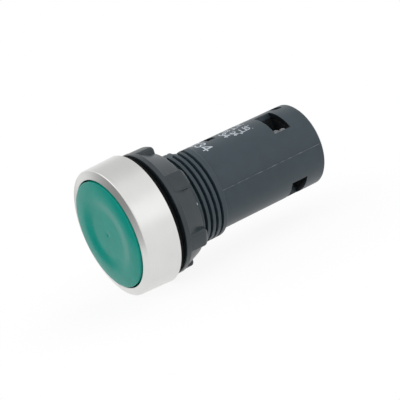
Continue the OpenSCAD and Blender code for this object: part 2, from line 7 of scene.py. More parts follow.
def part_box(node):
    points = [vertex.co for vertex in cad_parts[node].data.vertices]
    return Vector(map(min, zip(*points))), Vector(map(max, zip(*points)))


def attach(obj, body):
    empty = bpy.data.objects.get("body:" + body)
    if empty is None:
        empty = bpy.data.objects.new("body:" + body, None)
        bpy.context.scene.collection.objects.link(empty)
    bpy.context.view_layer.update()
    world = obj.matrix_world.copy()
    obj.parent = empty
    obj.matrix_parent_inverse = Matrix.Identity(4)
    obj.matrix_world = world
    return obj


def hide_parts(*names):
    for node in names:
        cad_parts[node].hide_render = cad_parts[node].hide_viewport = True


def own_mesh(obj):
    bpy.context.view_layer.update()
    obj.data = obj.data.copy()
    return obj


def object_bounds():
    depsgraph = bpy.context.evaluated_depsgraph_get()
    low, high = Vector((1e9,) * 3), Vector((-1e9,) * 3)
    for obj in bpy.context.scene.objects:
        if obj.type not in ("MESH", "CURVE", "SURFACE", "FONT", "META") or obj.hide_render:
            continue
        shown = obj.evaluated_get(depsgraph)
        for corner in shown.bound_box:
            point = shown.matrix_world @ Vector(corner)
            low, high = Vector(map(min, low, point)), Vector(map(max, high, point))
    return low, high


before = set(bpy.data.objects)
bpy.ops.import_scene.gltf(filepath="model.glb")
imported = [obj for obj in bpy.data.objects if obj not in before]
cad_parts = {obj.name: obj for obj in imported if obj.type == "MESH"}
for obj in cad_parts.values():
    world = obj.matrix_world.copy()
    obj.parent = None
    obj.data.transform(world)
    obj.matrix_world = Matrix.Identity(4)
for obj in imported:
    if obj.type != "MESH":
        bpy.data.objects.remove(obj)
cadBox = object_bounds()
mm = 0.001
print("frame loaded:", len(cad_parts), "nodes")


# surfaces

meshing = dict(mergeMm=0.0001, sharpDeg=40)


def inMm(box):
    # a box's two corners, from metres to millimetres
    return [np.array(corner) / mm for corner in box]


def smooth(low, high, value):
    # 0 below low, 1 above high, an S-shaped rise between
    t = np.clip((value - low) / (high - low), 0, 1)
    return t * t * (3 - 2 * t)


def fallBack(past, radius):
    # how far a quarter round has fallen at a distance past its start
    return radius - np.sqrt(radius ** 2 - np.clip(past, 0, radius) ** 2)


def roundedOutline(corners, steps=7, guard=0.04, closed=True):
    # each corner [across, along, radius] becomes an arc tangent to both its sides, with one guard point
    # on each side so that the flat stretches shade flat; an open outline keeps its two ends as points
    corners = np.asarray(corners, float)
    points, radius = corners[:, :2], corners[:, 2:]
    back = np.roll(points, 1, 0) - points
    ahead = np.roll(points, -1, 0) - points
    back /= np.linalg.norm(back, axis=1, keepdims=True)
    ahead /= np.linalg.norm(ahead, axis=1, keepdims=True)
    half = np.arccos(np.clip((back * ahead).sum(1, keepdims=True), -1, 1)) / 2
    reach = radius / np.tan(half)
    inward = (back + ahead) / np.linalg.norm(back + ahead, axis=1, keepdims=True)
    middle = points + inward * radius / np.sin(half)
    first = (points + back * reach - middle)[:, None]
    last = (points + ahead * reach - middle)[:, None]
    sweep = (np.pi - 2 * half)[:, None]
    t = np.linspace(0, 1, steps)[None, :, None]
    arc = (np.sin((1 - t) * sweep) * first + np.sin(t * sweep) * last) / np.sin(sweep)
    arc = arc + middle[:, None]
    before = (points + back * (reach + guard))[:, None]
    after = (points + ahead * (reach + guard))[:, None]
    arcs = np.concatenate([before, arc, after], 1)
    if closed:
        return arcs.reshape(-1, 2)
    return np.concatenate([points[:1], arcs[1:-1].reshape(-1, 2), points[-1:]])


def fullTurn(sides):
    # even angles round the axis, one to a row
    return np.linspace(0, 2 * np.pi, sides, endpoint=False)[:, None]


def aroundY(radius, angle, y):
    # points at a radius and an angle round the Y axis: x = r cos a, z = r sin a
    return np.stack(np.broadcast_arrays(radius * np.cos(angle), y, radius * np.sin(angle)), -1)


def turned(outline, sides=180):
    # an outline [radius, y] carried round the Y axis
    return aroundY(outline[:, 0], fullTurn(sides), outline[:, 1])


def gridFaces(rows, columns, wrapRows, wrapColumns):
    # quads between neighbouring points of a grid, joined across the seams that wrap
    i = np.arange(rows if wrapRows else rows - 1)[:, None]
    j = np.arange(columns if wrapColumns else columns - 1)[None]
    iNext, jNext = (i + 1) % rows, (j + 1) % columns
    corners = [i * columns + j, iNext * columns + j, iNext * columns + jNext, i * columns + jNext]
    return np.stack(np.broadcast_arrays(*corners), -1).reshape(-1, 4)


def addPiece(name, grids, finish, body, stands=(), wrap=(True, True)):
    # one mesh from grids of points in millimetres, doubles merged and faces turned outwards
    verts, faces, count = [], [], 0
    for grid in grids:
        rows, columns = grid.shape[:2]
        verts.append(grid.reshape(-1, 3) * mm)
        faces.append(gridFaces(rows, columns, *wrap) + count)
        count += rows * columns
    mesh = bpy.data.meshes.new(name)
    mesh.from_pydata(np.concatenate(verts).tolist(), [], np.concatenate(faces).tolist())
    work = bmesh.new()
    work.from_mesh(mesh)
    bmesh.ops.remove_doubles(work, verts=work.verts, dist=meshing["mergeMm"] * mm)
    bmesh.ops.recalc_face_normals(work, faces=work.faces)
    work.to_mesh(mesh)
    work.free()
    mesh.shade_smooth()
    mesh.set_sharp_from_angle(angle=np.radians(meshing["sharpDeg"]))
    piece = bpy.data.objects.new(name, mesh)
    bpy.context.scene.collection.objects.link(piece)
    mesh.materials.append(finish)
    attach(piece, body)
    if stands:
        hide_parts(*stands)
    return piece


# shader sockets

class Sock:
    # wraps a socket, so that + - * ** and abs on values add Math nodes, and node() adds any other kind
    def __init__(self, tree, out=None):
        self.tree = tree
        self.out = out

    def node(self, kind, settings=None, inputs=None, pick=0):
        # settings are the node's own properties, and inputs the values or links of its sockets
        made = self.tree.nodes.new("ShaderNode" + kind)
        for key, value in (settings or {}).items():
            setattr(made, key, value)
        for key, value in (inputs or {}).items():
            if isinstance(value, Sock):
                self.tree.links.new(value.out, made.inputs[key])
            else:
                made.inputs[key].default_value = value
        return Sock(self.tree, made.outputs[pick])

    def also(self, key):
        # another output of the same node
        return Sock(self.tree, self.out.node.outputs[key])

    def maths(self, operation, *values):
        return self.node("Math", {"operation": operation}, dict(enumerate(values)))

    def __add__(self, other):
        return self.maths("ADD", self, other)

    def __radd__(self, other):
        return self.maths("ADD", other, self)

    def __sub__(self, other):
        return self.maths("SUBTRACT", self, other)

    def __rsub__(self, other):
        return self.maths("SUBTRACT", other, self)

    def __mul__(self, other):
        return self.maths("MULTIPLY", self, other)

    def __rmul__(self, other):
        return self.maths("MULTIPLY", other, self)

    def __pow__(self, other):
        return self.maths("POWER", self, other)

    def __abs__(self):
        return self.maths("ABSOLUTE", self)

    def spread(self, low, high):
        # 0 at low, 1 at high, smooth between
        settings = {"interpolation_type": "SMOOTHSTEP"}
        return self.node("MapRange", settings, {"Value": self, "From Min": low, "From Max": high})

    def mix(self, one, two):
        # a colour between two colours, by this value
        return self.node("Mix", {"data_type": "RGBA"}, {0: self, 6: one, 7: two}, 2)


def newFinish(name, constants):
    # a Principled material with its even values set on the shader's own sockets
    finish = bpy.data.materials.new(name)
    finish.use_nodes = True
    shader = finish.node_tree.nodes["Principled BSDF"]
    for socket, value in constants.items():
        shader.inputs[socket].default_value = value
    return finish, Sock(finish.node_tree), shader


def feed(shader, **sockets):
    # links a value to each socket named, an underscore standing for a space
    for name, value in sockets.items():
        value.tree.links.new(value.out, shader.inputs[name.replace("_", " ")])


def colour(r, g, b):
    # screen values 0 to 255, by the sRGB curve to the linear colour that a socket takes
    value = np.array([r, g, b]) / 255
    linear = np.where(value <= 0.04045, value / 12.92, ((value + 0.055) / 1.055) ** 2.4)
    return (*linear.tolist(), 1)


def noise(tree, vector, scale, detail=3, roughness=0.55):
    inputs = {"Vector": vector, "Scale": scale, "Detail": detail, "Roughness": roughness}
    return tree.node("TexNoise", {}, inputs)


def softEdge(tree, edgeMm, samples=6):
    # normals that run round a small radius at the edges
    return tree.node("Bevel", {"samples": samples}, {"Radius": edgeMm * mm})


def bumped(tree, height, strength, deepMm, normal=None):
    inputs = {"Height": height, "Strength": strength, "Distance": deepMm * mm}
    if normal:
        inputs["Normal"] = normal
    return tree.node("Bump", {}, inputs)


def distance(tree, here, place):
    # how far a point is from a place, in metres
    return tree.node("VectorMath", {"operation": "DISTANCE"}, {0: here, 1: place}, "Value")


# finishes; noise scales are per metre

def satinSilver():
    # satin metal: fine lines left by the turning tool, slow clouding and a fine grain
    look = dict(pale=(227, 227, 225), deep=(213, 213, 211), rough=(0.24, 0.34), lines=9000, sway=60,
                cloud=260, grain=16000, cloudShare=0.6, roughShare=0.5, bumpShare=0.6, bump=0.12,
                bumpMm=0.02)
    finish, tree, shader = newFinish("satin_silver_finish", {"Metallic": 1})
    here = tree.node("TexCoord", pick="Object")
    split = tree.node("SeparateXYZ", {}, {0: here})
    x, y, z = split, split.also(1), split.also(2)
    radius = (x * x + z * z) ** 0.5
    turning = {0: radius * look["lines"], 1: y * look["lines"], 2: x * look["sway"]}
    lines = noise(tree, tree.node("CombineXYZ", {}, turning), scale=1, detail=2)
    cloud = noise(tree, here, look["cloud"], detail=4)
    grain = noise(tree, here, look["grain"], detail=2)
    tone = cloud * look["cloudShare"] + lines * (1 - look["cloudShare"])
    wear = lines * look["roughShare"] + grain * (1 - look["roughShare"])
    height = lines * look["bumpShare"] + grain * (1 - look["bumpShare"])
    least, most = look["rough"]
    feed(shader,
         Base_Color=tone.mix(colour(*look["deep"]), colour(*look["pale"])),
         Roughness=least + wear * (most - least),
         Normal=bumped(tree, height, look["bump"], look["bumpMm"]))
    return finish


moulding = dict(drift=320, flow=70, toneShares=(0.5, 0.3, 0.2), toneReach=(0.3, 0.7), swing=0.12,
                grainShare=0.6, bump=0.5)


def mouldedPlastic(name, base, rough, grainMm, bumpMm, cloud, shine=0.5, marks=(), edgeMm=0.12):
    # base colour with slow clouding and painted marks, a spark-eroded grain and softened edges
    finish, tree, shader = newFinish(name, {"Metallic": 0, "Specular IOR Level": shine})
    here = tree.node("TexCoord", pick="Object")
    grain = noise(tree, here, 1 / (grainMm * mm))
    drift = noise(tree, here, moulding["drift"])
    flow = noise(tree, here, moulding["flow"], detail=2)
    ofDrift, ofFlow, ofGrain = moulding["toneShares"]
    tone = drift * ofDrift + flow * ofFlow + grain * ofGrain
    dark = colour(*[v * (1 - cloud) for v in base])
    light = colour(*[v * (1 + cloud) for v in base])
    shade = tone.spread(*moulding["toneReach"]).mix(dark, light)
    for mark in marks:
        share, tint = mark(tree, here)
        shade = share.mix(shade, colour(*tint))
    wear = grain * moulding["grainShare"] + drift * (1 - moulding["grainShare"])
    feed(shader,
         Base_Color=shade,
         Roughness=rough - moulding["swing"] / 2 + moulding["swing"] * wear,
         Normal=bumped(tree, grain, moulding["bump"], bumpMm, softEdge(tree, edgeMm)))
    return finish


def gateMark(tree, here):
    # a pale spot where the nut's moulding gate was cut
    spot = dict(place=(12.02, 6.98, 0.27), core=0.144, size=0.36, tint=(176, 180, 178))
    away = distance(tree, here, tuple(v * mm for v in spot["place"]))
    return 1 - away.spread(spot["core"] * mm, spot["size"] * mm), spot["tint"]


def seamHighlight(tree, here):
    # painted highlight: a pale line along the parting seam on each side of the body, from the collar to
    # the rear end, broken into stretches by noise
    line = dict(half=0.05, fade=0.09, side=9.3, front=14.5, rise=0.2, sheenBreak=500, sheenBreakReach=(0.35, 0.7),
                least=0.12, more=0.68, tint=(108, 117, 124))
    split = tree.node("SeparateXYZ", {}, {0: here})
    side, along, across = abs(split), split.also(1), abs(split.also(2))
    seam = 1 - across.spread(line["half"] * mm, (line["half"] + line["fade"]) * mm)
    seam = seam * side.spread(line["side"] * mm, (line["side"] + line["rise"]) * mm)
    seam = seam * along.spread(line["front"] * mm, (line["front"] + line["rise"]) * mm)
    sheenBreak = noise(tree, here, line["sheenBreak"]).spread(*line["sheenBreakReach"])
    return seam * (line["least"] + sheenBreak * line["more"]), line["tint"]


def entryShade(tree, here):
    # painted shade: darkens the wire entries' rear walls, where little light falls in, in a thin band
    # along Y inside the body's outer skin
    wall = dict(radius=9.6, fade=0.12, ahead=0.1, behind=0.2, tint=(10, 15, 18))
    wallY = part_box("clamp_plates")[1][1]
    split = tree.node("SeparateXYZ", {}, {0: here})
    x, along, z = split, split.also(1), split.also(2)
    radius = (x * x + z * z) ** 0.5
    inside = 1 - radius.spread(wall["radius"] * mm, (wall["radius"] + wall["fade"]) * mm)
    onWall = along.spread(wallY - wall["ahead"] * mm, wallY)
    onWall = onWall - along.spread(wallY + wall["ahead"] * mm, wallY + wall["behind"] * mm)
    return inside * onWall, wall["tint"]


drawing = dict(stretch=(1, 0.12, 1), tarnishReach=(0.35, 0.7), swing=0.25, grainShare=0.4, bump=0.35,
               bumpMm=0.003)


def drawnMetal(name, base, deep, rough, grainMm, blotch, edgeMm=0.07, bare=1):
    # bare or plated metal: a fine rolling grain along Y, and slow tarnish that dulls it in patches
    finish, tree, shader = newFinish(name, {"Metallic": bare})
    here = tree.node("TexCoord", pick="Object")
    stretched = tree.node("Mapping", {}, {"Vector": here, "Scale": drawing["stretch"]})
    grain = noise(tree, stretched, 1 / (grainMm * mm))
    tarnish = noise(tree, here, blotch, detail=5, roughness=0.65)
    wear = grain * drawing["grainShare"] + tarnish * (1 - drawing["grainShare"])
    feed(shader,
         Base_Color=tarnish.spread(*drawing["tarnishReach"]).mix(colour(*base), colour(*deep)),
         Roughness=rough - drawing["swing"] / 2 + drawing["swing"] * wear,
         Normal=bumped(tree, grain, drawing["bump"], drawing["bumpMm"], softEdge(tree, edgeMm)))
    return finish


finishes = dict(
    silver=satinSilver(),
    green=mouldedPlastic("green_cap_finish", (2, 148, 133), rough=0.26, grainMm=0.10, bumpMm=0.0015,
                         cloud=0.03, shine=0.185),
    # the body's marks: a painted highlight along the parting seams and painted shade on the wire entries'
    # rear walls
    body=mouldedPlastic("grey_body_finish", (43, 58, 66), rough=0.40, grainMm=0.18, bumpMm=0.006,
                        cloud=0.06, shine=0.48, marks=(seamHighlight, entryShade)),
    nut=mouldedPlastic("grey_nut_finish", (41, 51, 56), rough=0.34, grainMm=0.14, bumpMm=0.005,
                       cloud=0.07, shine=0.48, marks=(gateMark,), edgeMm=0.16),
    rubber=mouldedPlastic("gasket_finish", (7, 7, 8), rough=0.75, grainMm=0.10, bumpMm=0.006,
                          cloud=0.12, shine=0.12),
    insert=mouldedPlastic("insert_finish", (16, 21, 23), rough=0.55, grainMm=0.16, bumpMm=0.006,
                          cloud=0.08, shine=0.3),
    ivory=mouldedPlastic("plunger_finish", (226, 218, 196), rough=0.42, grainMm=0.16, bumpMm=0.004,
                         cloud=0.03),
    ink=mouldedPlastic("print_finish", (190, 198, 206), rough=0.6, grainMm=0.10, bumpMm=0.001,
                       cloud=0.06),
    wire=drawnMetal("spring_finish", (190, 190, 194), (150, 150, 152), rough=0.3, grainMm=0.05,
                    blotch=700),
    brass=drawnMetal("brass_finish", (214, 178, 104), (170, 132, 72), rough=0.32, grainMm=0.08,
                     blotch=420),
    tips=drawnMetal("contact_finish", (232, 230, 226), (196, 192, 186), rough=0.26, grainMm=0.06,
                    blotch=900),
    plated=drawnMetal("plated_finish", (222, 224, 228), (205, 208, 212), rough=0.30, grainMm=0.07,
                      blotch=520, edgeMm=0.2, bare=0.25),
)
print("finishes:", len(finishes))


# bezel

bezel = dict(taper=0.35, lipRise=0.65, lipThick=0.9, ringWidth=2.0, wall=1.0, shoulderRound=0.25,
             lipRound=0.2, edgeRound=0.1, innerRound=0.05, sides=240)
low, high = inMm(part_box("bezel"))
bezelRadius, bezelRear, lipY = high[0], high[1], low[1]
shoulderRadius = bezelRadius - bezel["taper"]
shoulderY = lipY + bezel["lipRise"]
openRadius = shoulderRadius - bezel["ringWidth"]
boreRadius = shoulderRadius - bezel["wall"]
bezelOutline = roundedOutline([
    (boreRadius, bezelRear, bezel["edgeRound"]),
    (bezelRadius, bezelRear, bezel["edgeRound"]),
    (shoulderRadius, shoulderY, bezel["shoulderRound"]),
    (openRadius, lipY, bezel["lipRound"]),
    (openRadius, lipY + bezel["lipThick"], bezel["innerRound"]),
    (boreRadius, lipY + bezel["lipThick"], bezel["innerRound"]),
])
bezelGrid = turned(bezelOutline, bezel["sides"])
addPiece("bezel_ring", [bezelGrid], finishes["silver"], "housing", ["bezel"])
print("bezel done")


# button cap

cap = dict(edgeWidth=3.1, edgeDrop=0.32, edgeRound=0.1, edgePower=24, dish=0.42, slopeWidth=3.8,
           web=1.16, skirt=1.17, skirtWall=1.1, skirtEdge=0.05, hubRadius=4.8, hubLength=3.45,
           stemRadius=3.45, dimple=0.45, dimpleFloor=0.3, dimpleDepth=0.12, sides=200)
low, high = inMm(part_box("button_cap"))
capRadius, capTop = high[0], low[1]
crown = capRadius - cap["edgeWidth"]
dishRadius = crown - cap["slopeWidth"]


def capHeight(r):
    # a flat dish, half a cosine up to the crown, a parabola down from it to a rounded rim, and
    # a dimple in the centre
    up = np.clip((r - dishRadius) / cap["slopeWidth"], 0, 1)
    over = np.clip((r - crown) / cap["edgeWidth"], 0, 1)
    dish = cap["dish"] * (1 + np.cos(np.pi * up)) / 2
    rim = cap["edgeRound"] * (1 - np.sqrt(1 - over ** cap["edgePower"]))
    dimple = cap["dimpleDepth"] * (1 - smooth(cap["dimpleFloor"], 1, r / cap["dimple"]))
    return capTop + dish + cap["edgeDrop"] * over ** 2 + rim + dimple


capRadii = np.concatenate([
    np.linspace(0, cap["dimple"], 8)[:-1],
    np.linspace(cap["dimple"], dishRadius, 6)[:-1],
    np.linspace(dishRadius, crown, 24)[:-1],
    crown + cap["edgeWidth"] * np.sin(np.linspace(0, np.pi / 2, 28)),
])
under = capTop + cap["dish"] + cap["web"]
skirtIn = capRadius - cap["skirtWall"]
skirtEnd = under + cap["skirt"]
hubEnd = under + cap["hubLength"]
capInside = np.array([
    (capRadius, under), (capRadius, skirtEnd - cap["skirtEdge"]),
    (capRadius - cap["skirtEdge"], skirtEnd), (skirtIn, skirtEnd), (skirtIn, under),
    (cap["hubRadius"], under), (cap["hubRadius"], hubEnd),
    (cap["stemRadius"], hubEnd), (cap["stemRadius"], under), (0, under),
])
capOutline = np.concatenate([np.stack([capRadii, capHeight(capRadii)], 1), capInside])
capGrid = turned(capOutline, cap["sides"])
addPiece("cap_dome", [capGrid], finishes["green"], "button", ["button_cap"],
         (True, False))
print("cap done")


# panel gasket

gasket = dict(inner=10.6, outerRound=0.16, innerRound=0.05)
low, high = inMm(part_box("panel_gasket"))
gasketOutline = roundedOutline([
    (gasket["inner"], low[1], gasket["innerRound"]), (high[0], low[1], gasket["outerRound"]),
    (high[0], high[1], gasket["outerRound"]), (gasket["inner"], high[1], gasket["innerRound"]),
])
addPiece("gasket_ring", [turned(gasketOutline)], finishes["rubber"], "housing",
         ["panel_gasket"])
print("gasket done")


# threaded barrel

barrel = dict(cupOut=13.35, cupIn=12.45, cupFloor=-2.4, seat=10.5, bore=8.6, web=(4, 6.4), stemHole=3.6,
              sealSeat=5.2, sealFloor=5.4, collar=10.66, collarEnd=14.62, behind=9.75, sides=240,
              cupRound=0.08, collarRound=0.16, collarFoot=0.04, soft=0.1, edge=0.05, tight=0.02)
thread = dict(crest=10.68, root=9.6, pitch=1.44, crestWidth=0.72, rootWidth=0.3, firstCrest=3.69, neck=1.0,
              neckEase=0.45, undercut=0.5, runIn=0.7, end=13.7, rowStep=0.05)
keyway = dict(fromDeg=75, toDeg=114, widerDeg=8, widerOver=0.4, past=0.01, floor=9.1, rise=0.68,
              riseX=(-0.8, -4.2))
low, high = inMm(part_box("barrel"))
barrelFront, barrelEnd = low[1], high[1]


def ridge(y, angle):
    # 1 on a crest, 0 in a root: a single-start helix with flat crests and roots and S-shaped flanks
    turn = (y - thread["firstCrest"]) / thread["pitch"] + angle / (2 * np.pi)
    away = np.abs((turn + 0.5) % 1 - 0.5) * 2
    crestShare, rootShare = thread["crestWidth"] / thread["pitch"], thread["rootWidth"] / thread["pitch"]
    return 1 - smooth(crestShare, 1 - rootShare, away)


soft, edge, tight = barrel["soft"], barrel["edge"], barrel["tight"]
webFront, webRear = barrel["web"]
frontPart = roundedOutline([
    (barrel["cupIn"], barrelFront, edge), (barrel["cupOut"], barrelFront, barrel["cupRound"]),
    (barrel["cupOut"], bezelRear, edge), (barrel["seat"], bezelRear, tight),
], steps=4)
neckPart = np.array([(barrel["seat"], -tight), (thread["crest"], 0),
                     (thread["crest"], thread["neck"] - thread["rowStep"])])
threadY = np.arange(thread["neck"], thread["end"], thread["rowStep"])
threadPart = np.stack([np.full_like(threadY, thread["root"]), threadY], 1)
rearPart = roundedOutline([
    (barrel["collar"], thread["end"], tight),
    (barrel["collar"], barrel["collarEnd"], barrel["collarRound"]),
    (barrel["behind"], barrel["collarEnd"], barrel["collarFoot"]), (barrel["behind"], barrelEnd, tight),
    (barrel["bore"], barrelEnd, soft), (barrel["bore"], webRear, soft),
    (barrel["stemHole"], webRear, edge), (barrel["stemHole"], barrel["sealFloor"], tight),
    (barrel["sealSeat"], barrel["sealFloor"], edge), (barrel["sealSeat"], webFront, edge),
    (barrel["bore"], webFront, soft), (barrel["bore"], barrel["cupFloor"], edge),
    (barrel["cupIn"], barrel["cupFloor"], soft),
], steps=4)
barrelOutline = np.concatenate([frontPart, neckPart, threadPart, rearPart])
barrelR, barrelY = barrelOutline.T
threadStart = len(frontPart) + len(neckPart)
threadRows = slice(threadStart, threadStart + len(threadPart))
pastNeck = threadY - thread["neck"]
onThread = np.zeros(len(barrelOutline))
onThread[threadRows] = smooth(0, thread["runIn"], pastNeck - thread["undercut"])
onNeck = np.zeros(len(barrelOutline))
onNeck[threadRows] = 1 - smooth(0, thread["neckEase"], pastNeck)

# the outline carried round Y, with the thread's rows raised by the ridge and z cut to the keyway's floor
barrelAngle = fullTurn(barrel["sides"])
threadDepth = thread["crest"] - thread["root"]
threadRadius = barrelR + threadDepth * onThread * ridge(barrelY, barrelAngle)
threadRadius += (thread["crest"] - threadRadius) * onNeck  # the neck slopes into the first root
barrelGrid = aroundY(threadRadius, barrelAngle, barrelY)
onCollar = smooth(-keyway["widerOver"], 0, barrelY - thread["end"])
keyTo = keyway["toDeg"] + keyway["widerDeg"] * onCollar
keyed = (barrelY > 0) & (barrelY < barrel["collarEnd"] + keyway["past"]) & (barrelR > barrel["bore"])
keyed = keyed & (np.degrees(barrelAngle) > keyway["fromDeg"]) & (np.degrees(barrelAngle) < keyTo)
nearX, farX = keyway["riseX"]
farSide = smooth(-nearX, -farX, -barrelGrid[..., 0])
keyFloor = keyway["floor"] + keyway["rise"] * farSide * (1 - onCollar)  # it rises on the far side
barrelGrid[..., 2] = np.where(keyed, keyFloor, barrelGrid[..., 2])
addPiece("threaded_barrel", [barrelGrid], finishes["body"], "housing", ["barrel"])
print("barrel done")


# fixing nut

nut = dict(bore=10.9, wall=1.2, lobeHeight=1.9, lobes=6, lobeWidth=4.7, lobeRound=1.2, lobeTurnDeg=28.7,
           lobeEdge=1.1, inset=0.05, rim=0.6, foot=0.08, flange=1.2, flangeRound=0.22, mouth=0.3,
           mouthRound=0.15, gripStep=0.15, stepRound=0.06, stepLap=0.02, sideStart=0.03, rearRound=0.12,
           rearChamfer=0.2, boreStart=0.35, grooveDepth=0.5, grooveEase=0.5)
low, high = inMm(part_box("fixing_nut"))
nutFront, nutRear = low[1], high[1]
hubRadius = nut["bore"] + nut["wall"]
nutRadius = hubRadius + nut["lobeHeight"]
lobeRadius = nutRadius - nut["inset"]
gapRadius = lobeRadius - nut["gripStep"]
rearBore = nut["bore"] + nut["rearChamfer"]
gripStart = nutFront + nut["flange"]


def nutRows(hub, lobe, y):
    # one row for each y: the radius in the gaps, the radius on the lobes, and y
    return np.stack(np.broadcast_arrays(hub, lobe, y), 1)


def lobeShares(before, rise, after):
    # across half a lobe: 0 on the stretches before this one, its own rise, and 1 on those after it
    lead, tail = sum(map(len, before)), sum(map(len, after))
    return np.concatenate([np.zeros(lead), rise, np.ones(tail)])[:, None]


flangePart = roundedOutline([
    (nut["bore"], nutFront + nut["mouth"], 0), (nut["bore"], nutFront, nut["mouthRound"]),
    (nutRadius, nutFront, nut["flangeRound"]), (nutRadius, gripStart, nut["stepRound"]),
    (gapRadius + nut["stepLap"], gripStart, 0),
], steps=6, guard=0.02, closed=False)
sideY = np.concatenate([
    np.linspace(gripStart + nut["sideStart"], nutRear - nut["lobeRound"], 16)[:-1],
    nutRear - nut["lobeRound"] * (1 - np.sin(np.linspace(0, np.pi / 2, 16))),
])
fall = (sideY - gripStart) / (nutRear - gripStart)
hubSide = gapRadius + (hubRadius - gapRadius) * fall       # the gaps slope down to the rear
hubSide = hubSide - nut["rearRound"] * smooth(1 - nut["rearRound"] / 2, 1, fall)
lobeSide = lobeRadius - fallBack(sideY - nutRear + nut["lobeEdge"], nut["lobeEdge"])
rearShare = np.linspace(0, 1, 7)[1:]
boreY = np.linspace(nutRear - nut["rearChamfer"], nutFront + nut["boreStart"], 60)
rows = np.concatenate([
    nutRows(flangePart[:, 0], flangePart[:, 0], flangePart[:, 1]),
    nutRows(hubSide, lobeSide, sideY),
    nutRows(hubSide[-1] + (rearBore - hubSide[-1]) * rearShare,
            lobeSide[-1] + (rearBore - lobeSide[-1]) * rearShare, nutRear),
    nutRows(nut["bore"], nut["bore"], boreY),
])
hubR, lobeR, rowY = rows.T

# half a lobe, from its middle: its back, the round rim, the wall and the gap beside it
backRise = np.linspace(0, 1, 7)[:-1]
bend = np.linspace(0, np.pi / 2, 10)
wallRise = np.array([0.33, 0.67, 1])
gapRise = np.linspace(0, 1, 8)[1:]
onBack = lobeShares([], backRise, [bend, wallRise, gapRise])
onRim = lobeShares([backRise], np.sin(bend), [wallRise, gapRise])
rimDrop = lobeShares([backRise], 1 - np.cos(bend), [wallRise, gapRise]) * nut["rim"]
onWall = lobeShares([backRise, bend], wallRise, [gapRise])
inGap = lobeShares([backRise, bend, wallRise], gapRise, [])
halfWidth = nut["lobeWidth"] / 2 - fallBack(rowY - nutRear + nut["lobeRound"], nut["lobeRound"])
rimIn = np.arcsin((halfWidth - nut["rim"]) / lobeRadius)
rimOut = np.arcsin(halfWidth / lobeRadius)
foot = nut["foot"] / lobeRadius
halfPitch = np.pi / nut["lobes"]
halfAngle = rimIn * onBack + (rimOut - rimIn) * onRim + foot * onWall + (halfPitch - rimOut - foot) * inGap
halfRadius = hubR + (np.maximum(lobeR - rimDrop, hubR) - hubR) * (1 - onWall)
lobeAngle = np.concatenate([-halfAngle[:0:-1], halfAngle[:-1]])  # both halves of one lobe
lobeForm = np.concatenate([halfRadius[:0:-1], halfRadius[:-1]])
lobeTurns = np.radians(nut["lobeTurnDeg"]) + 2 * halfPitch * np.arange(nut["lobes"])
nutAngle = (lobeTurns[:, None, None] + lobeAngle).reshape(-1, len(rows))
inBore = np.arange(len(rows)) >= len(rows) - len(boreY)
fromEnd = np.minimum(rowY - nutFront, nutRear - rowY)
groove = nut["grooveDepth"] * ridge(rowY, nutAngle) * smooth(0, nut["grooveEase"], fromEnd)
nutForm = np.tile(lobeForm, (nut["lobes"], 1)) + np.where(inBore, groove, 0)
addPiece("lobed_nut", [aroundY(nutForm, nutAngle, rowY)], finishes["nut"], "nut",
         ["fixing_nut"])
print("nut done")


# springs

springs = dict(
    return_coil=dict(node="return_spring", x=0, coil=12.4, wire=0.8, turns=6, body="housing",
                     joint="button_press", anchorAtRear=True, keep=0.646),
    make_coil=dict(node="make_spring", x=4.2, coil=1.9, wire=0.34, turns=5, body="button",
                   joint="make_slide", anchorAtRear=False, keep=0.757),
    break_coil=dict(node="break_spring", x=-4.2, coil=1.9, wire=0.34, turns=5, body="button", joint=None),
)
winding = dict(closedPitch=1.08, stepsPerTurn=40, sides=12)
for name, coil in springs.items():
    # a round wire along a helix: one closed turn at each end, an even pitch between
    low, high = inMm(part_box(coil["node"]))
    turns, half = coil["turns"], coil["wire"] / 2
    closedTurn = winding["closedPitch"] * coil["wire"]
    length = high[1] - low[1]
    t = np.linspace(0, turns, turns * winding["stepsPerTurn"] + 1)[:, None]
    path = np.interp(t, [0, 1, turns - 1, turns],
                     [half, half + closedTurn, length - half - closedTurn, length - half])
    tube = np.full_like(t, half)
    tube[[0, -1]] = 0                                      # each end of the wire closes to a point
    across = fullTurn(winding["sides"]).T
    wireRadius = coil["coil"] / 2 + tube * np.cos(across)
    coilGrid = aroundY(wireRadius, 2 * np.pi * t, low[1] + path + tube * np.sin(across))
    coilGrid = coilGrid + np.array([coil["x"], 0, 0])
    piece = addPiece(name, [coilGrid], finishes["wire"], coil["body"], [coil["node"]],
                     (False, True))
    if coil["joint"]:
        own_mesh(piece)
print("springs done")


# printed marks on the body; across is arc length and along is Y

printing = dict(radius=9.75, lift=0.012, lap=0.002, laps=3, centreDeg=86, steps=7, figureMiddle=0.45)
figures = {
    "1": [(0.2, 0.75), (0.55, 1), (0.55, 0)],
    "2": [(0, 0.8), (0.25, 1), (0.6, 1), (0.85, 0.75), (0.8, 0.5), (0, 0), (0.9, 0)],
    "3": [(0, 0.85), (0.3, 1), (0.65, 1), (0.85, 0.75), (0.5, 0.53), (0.85, 0.28), (0.65, 0), (0.3, 0),
          (0, 0.15)],
    "4": [(0.65, 0), (0.65, 1), (0, 0.3), (0.9, 0.3)],
}


